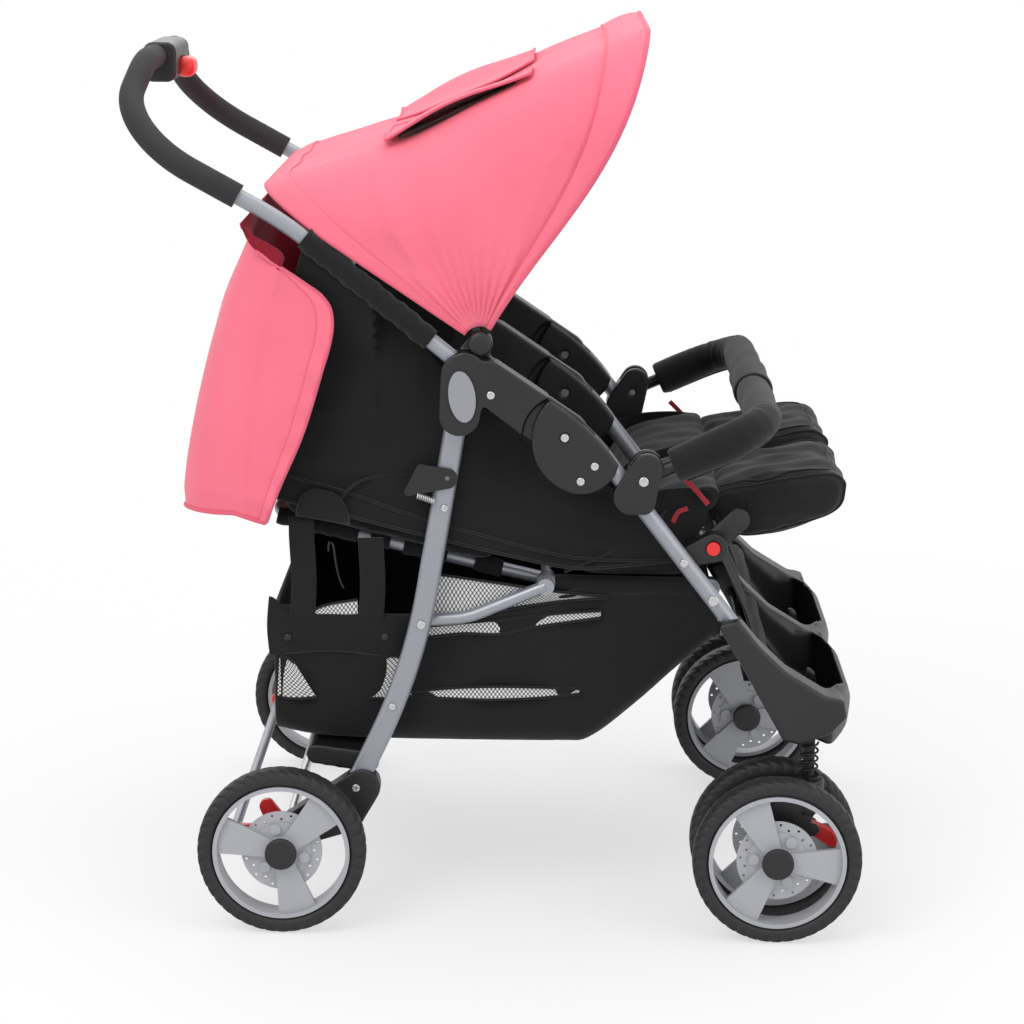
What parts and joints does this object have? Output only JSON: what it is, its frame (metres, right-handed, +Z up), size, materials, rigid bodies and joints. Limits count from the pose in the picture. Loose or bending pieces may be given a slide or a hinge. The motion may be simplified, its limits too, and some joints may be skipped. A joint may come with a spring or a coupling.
{
  "type": "twin baby stroller",
  "caption": "Side-by-side folding twin stroller with reclining seats, hood, leg rests, bumper bar, basket, sprung casters and foot brake.",
  "frame": {"origin": "on the floor, at the middle of the overall length and width", "axes": "+Z up, +X forward, +Y the stroller's left; symmetric about Y = 0 except the fold catch on the right leg"},
  "size_m": [0.879, 0.73, 1.0597],
  "materials": {
    "silver_paint": "satin silver paint",
    "black_plastic": "fine texture",
    "cover_grey": "satin",
    "screw_steel": "bright zinc",
    "spring_steel": "blackened",
    "black_fabric": "woven polyester",
    "pink_fabric": "woven polyester",
    "foam": "foam grip",
    "red_plastic": "gloss",
    "rim_grey": "satin",
    "tyre_rubber": "moulded foam tyre"
  },
  "bodies": {
    "front_frame": {"front_legs": "silver_paint", "fold_knuckles": "black_plastic", "bumper_brackets": "black_plastic", "footrest": "black_plastic", "leg_rest_hubs": "black_plastic", "front_fasteners": "screw_steel", "suspension_spring_left": "spring_steel", "suspension_spring_right": "spring_steel", "basket": "black_fabric"},
    "bumper": {"bumper_bar": "black_plastic", "bumper_pads": "foam"},
    "handle_frame": {"fold_arms": "black_plastic", "hub_covers": "cover_grey", "handle_tube": "silver_paint", "foam_grips": "foam", "handle_housing": "black_plastic", "handle_fasteners": "screw_steel", "canopy_hood": "pink_fabric", "rear_flap": "pink_fabric", "side_panels": "black_fabric"},
    "release": {"release_button": "red_plastic"},
    "front_bow": {"canopy_front_bow": "black_plastic"},
    "middle_bow": {"canopy_middle_bow": "black_plastic"},
    "rear_frame": {"rear_legs": "silver_paint", "rear_cross_member": "black_plastic", "wheel_brackets": "black_plastic", "rear_axle": "screw_steel", "rear_fasteners": "screw_steel"},
    "catch": {"fold_catch": "black_plastic"},
    "brake": {"brake_bar": "silver_paint", "brake_levers": "red_plastic"},
    "brace_pair": {"braces": "silver_paint"},
    "seat": {"seat_frame": "silver_paint", "seat_cushions": "black_fabric"},
    "caster_post_left": {"caster_stem_left": "screw_steel"},
    "caster_left": {"caster_fork_left": "black_plastic"},
    "lock_left": {"swivel_lock_left": "red_plastic"},
    "front_wheel_left_outer": {"front_rim_left_outer": "rim_grey", "front_tyre_left_outer": "tyre_rubber"},
    "front_wheel_left_inner": {"front_rim_left_inner": "rim_grey", "front_tyre_left_inner": "tyre_rubber"},
    "rear_wheel_left": {"rear_rim_left": "rim_grey", "rear_tyre_left": "tyre_rubber"},
    "backrest_left": {"backrest_frame_left": "silver_paint", "backrest_pad_left": "black_fabric"},
    "legrest_left": {"leg_rest_left": "black_fabric"},
    "legrest_release_left": {"leg_rest_button_left": "red_plastic"},
    "caster_post_right": {"caster_stem_right": "screw_steel"},
    "caster_right": {"caster_fork_right": "black_plastic"},
    "lock_right": {"swivel_lock_right": "red_plastic"},
    "front_wheel_right_outer": {"front_rim_right_outer": "rim_grey", "front_tyre_right_outer": "tyre_rubber"},
    "front_wheel_right_inner": {"front_rim_right_inner": "rim_grey", "front_tyre_right_inner": "tyre_rubber"},
    "rear_wheel_right": {"rear_rim_right": "rim_grey", "rear_tyre_right": "tyre_rubber"},
    "backrest_right": {"backrest_frame_right": "silver_paint", "backrest_pad_right": "black_fabric"},
    "legrest_right": {"leg_rest_right": "black_fabric"},
    "legrest_release_right": {"leg_rest_button_right": "red_plastic"}
  },
  "joints": [
    {"name": "fold", "type": "hinge", "parent": "front_frame", "child": "handle_frame", "pos_m": [0.07975, 0, 0.596], "axis": [0, 1, 0], "range_deg": [0, 84], "deforming": ["side_panels", "basket", "seat_cushions"]},
    {"name": "rear_fold", "type": "hinge", "parent": "handle_frame", "child": "rear_frame", "pos_m": [-0.03925, 0, 0.643], "axis": [0, 1, 0], "range_deg": [-106.1, 0]},
    {"name": "seat_fold", "type": "hinge", "parent": "front_frame", "child": "seat", "pos_m": [0.25615, 0, 0.40287], "axis": [0, 1, 0], "range_deg": [0, 72.97]},
    {"name": "brace_fold", "type": "hinge", "parent": "rear_frame", "child": "brace_pair", "pos_m": [-0.08725, 0, 0.361], "axis": [0, 1, 0], "range_deg": [-42, 0]},
    {"name": "bumper_lift", "type": "hinge", "parent": "front_frame", "child": "bumper", "pos_m": [0.17175, 0, 0.546], "axis": [0, 1, 0], "range_deg": [-85, 0]},
    {"name": "canopy_fold", "type": "hinge", "parent": "handle_frame", "child": "front_bow", "pos_m": [-0.01925, 0, 0.703], "axis": [0, 1, 0], "range_deg": [-68, 0], "deforming": ["canopy_hood"]},
    {"name": "middle_bow_fold", "type": "hinge", "parent": "handle_frame", "child": "middle_bow", "pos_m": [-0.01925, 0, 0.703], "axis": [0, 1, 0], "range_deg": [-28, 0]},
    {"name": "release_press", "type": "slide", "parent": "handle_frame", "child": "release", "axis": [-1, 0, 0], "range_m": [0, 0.004], "stiffness_N_per_m": 400, "springref_m": -0.003},
    {"name": "catch_turn", "type": "hinge", "parent": "rear_frame", "child": "catch", "pos_m": [-0.05725, 0, 0.539], "axis": [0, 1, 0], "range_deg": [0, 25], "stiffness_Nm_per_rad": 0.05},
    {"name": "brake_press", "type": "hinge", "parent": "rear_frame", "child": "brake", "pos_m": [-0.24825, 0, 0.1], "axis": [0, 1, 0], "range_deg": [-15, 0]},
    {"name": "recline_left", "type": "hinge", "parent": "seat", "child": "backrest_left", "pos_m": [0.05975, 0.135, 0.405], "axis": [0, 1, 0], "range_deg": [0, 60]},
    {"name": "legrest_drop_left", "type": "hinge", "parent": "front_frame", "child": "legrest_left", "pos_m": [0.25575, 0.135, 0.461], "axis": [0, 1, 0], "range_deg": [0, 60]},
    {"name": "legrest_press_left", "type": "slide", "parent": "front_frame", "child": "legrest_release_left", "axis": [0, -1, 0], "range_m": [0, 0.003], "stiffness_N_per_m": 300, "springref_m": -0.003},
    {"name": "suspension_left", "type": "slide", "parent": "front_frame", "child": "caster_post_left", "axis": [0, 0, 1], "range_m": [0, 0.012], "stiffness_N_per_m": 4000, "springref_m": -0.02, "deforming": ["suspension_spring_left"]},
    {"name": "swivel_left", "type": "hinge", "parent": "caster_post_left", "child": "caster_left", "pos_m": [0.37375, 0.304, 0.18], "axis": [0, 0, 1], "continuous": true},
    {"name": "swivel_lock_left", "type": "hinge", "parent": "caster_left", "child": "lock_left", "pos_m": [0.37975, 0.304, 0.128], "axis": [0, 1, 0], "range_deg": [0, 25]},
    {"name": "front_spin_left_outer", "type": "hinge", "parent": "caster_left", "child": "front_wheel_left_outer", "pos_m": [0.33675, 0.344, 0.1], "axis": [0, 1, 0], "continuous": true},
    {"name": "front_spin_left_inner", "type": "hinge", "parent": "caster_left", "child": "front_wheel_left_inner", "pos_m": [0.33675, 0.264, 0.1], "axis": [0, 1, 0], "continuous": true},
    {"name": "rear_spin_left", "type": "hinge", "parent": "rear_frame", "child": "rear_wheel_left", "pos_m": [-0.24825, 0.335, 0.1], "axis": [0, 1, 0], "continuous": true},
    {"name": "recline_right", "type": "hinge", "parent": "seat", "child": "backrest_right", "pos_m": [0.05975, -0.135, 0.405], "axis": [0, 1, 0], "range_deg": [0, 60]},
    {"name": "legrest_drop_right", "type": "hinge", "parent": "front_frame", "child": "legrest_right", "pos_m": [0.25575, -0.135, 0.461], "axis": [0, 1, 0], "range_deg": [0, 60]},
    {"name": "legrest_press_right", "type": "slide", "parent": "front_frame", "child": "legrest_release_right", "axis": [0, 1, 0], "range_m": [0, 0.003], "stiffness_N_per_m": 300, "springref_m": -0.003},
    {"name": "suspension_right", "type": "slide", "parent": "front_frame", "child": "caster_post_right", "axis": [0, 0, 1], "range_m": [0, 0.012], "stiffness_N_per_m": 4000, "springref_m": -0.02, "deforming": ["suspension_spring_right"]},
    {"name": "swivel_right", "type": "hinge", "parent": "caster_post_right", "child": "caster_right", "pos_m": [0.37375, -0.304, 0.18], "axis": [0, 0, 1], "continuous": true},
    {"name": "swivel_lock_right", "type": "hinge", "parent": "caster_right", "child": "lock_right", "pos_m": [0.37975, -0.304, 0.128], "axis": [0, 1, 0], "range_deg": [0, 25]},
    {"name": "front_spin_right_outer", "type": "hinge", "parent": "caster_right", "child": "front_wheel_right_outer", "pos_m": [0.33675, -0.344, 0.1], "axis": [0, 1, 0], "continuous": true},
    {"name": "front_spin_right_inner", "type": "hinge", "parent": "caster_right", "child": "front_wheel_right_inner", "pos_m": [0.33675, -0.264, 0.1], "axis": [0, 1, 0], "continuous": true},
    {"name": "rear_spin_right", "type": "hinge", "parent": "rear_frame", "child": "rear_wheel_right", "pos_m": [-0.24825, -0.335, 0.1], "axis": [0, 1, 0], "continuous": true}
  ],
  "couplings": [
    {"joint": "rear_fold", "follows": "fold", "ratio": -1.2619},
    {"joint": "seat_fold", "follows": "fold", "ratio": 0.8675},
    {"joint": "brace_fold", "follows": "fold", "ratio": -0.49883},
    {"joint": "middle_bow_fold", "follows": "canopy_fold", "ratio": 0.4}
  ]
}
